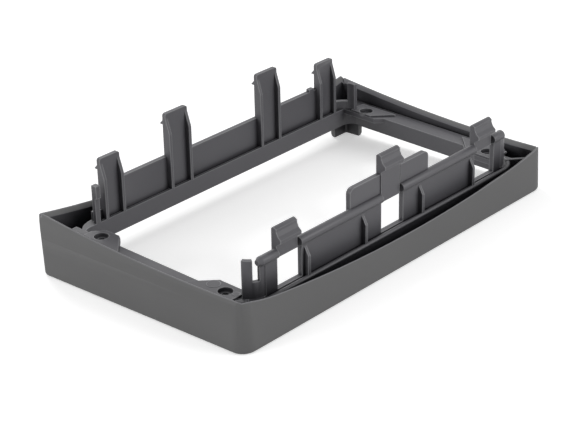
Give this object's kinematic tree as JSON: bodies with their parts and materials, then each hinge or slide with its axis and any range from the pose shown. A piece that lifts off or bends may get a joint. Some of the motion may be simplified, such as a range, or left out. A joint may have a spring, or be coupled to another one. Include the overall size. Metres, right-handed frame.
{
  "type": "car radio mounting frame",
  "caption": "Moulded plastic surround that frames a double-height car radio and snaps into the dashboard, with clips, tabs and screw plates.",
  "frame": {"origin": "middle of the part's box at its base, on the surface it lies on with its front edge down", "axes": "+X along the long side, +Y from the low side with the clips to the high side with the tabs, +Z away from the front towards the fixing side"},
  "size_m": [0.1986, 0.1198, 0.0552],
  "materials": {
    "frame_plastic": "fine satin grain"
  },
  "bodies": {
    "root": {"radio_frame": "frame_plastic"}
  },
  "joints": []
}
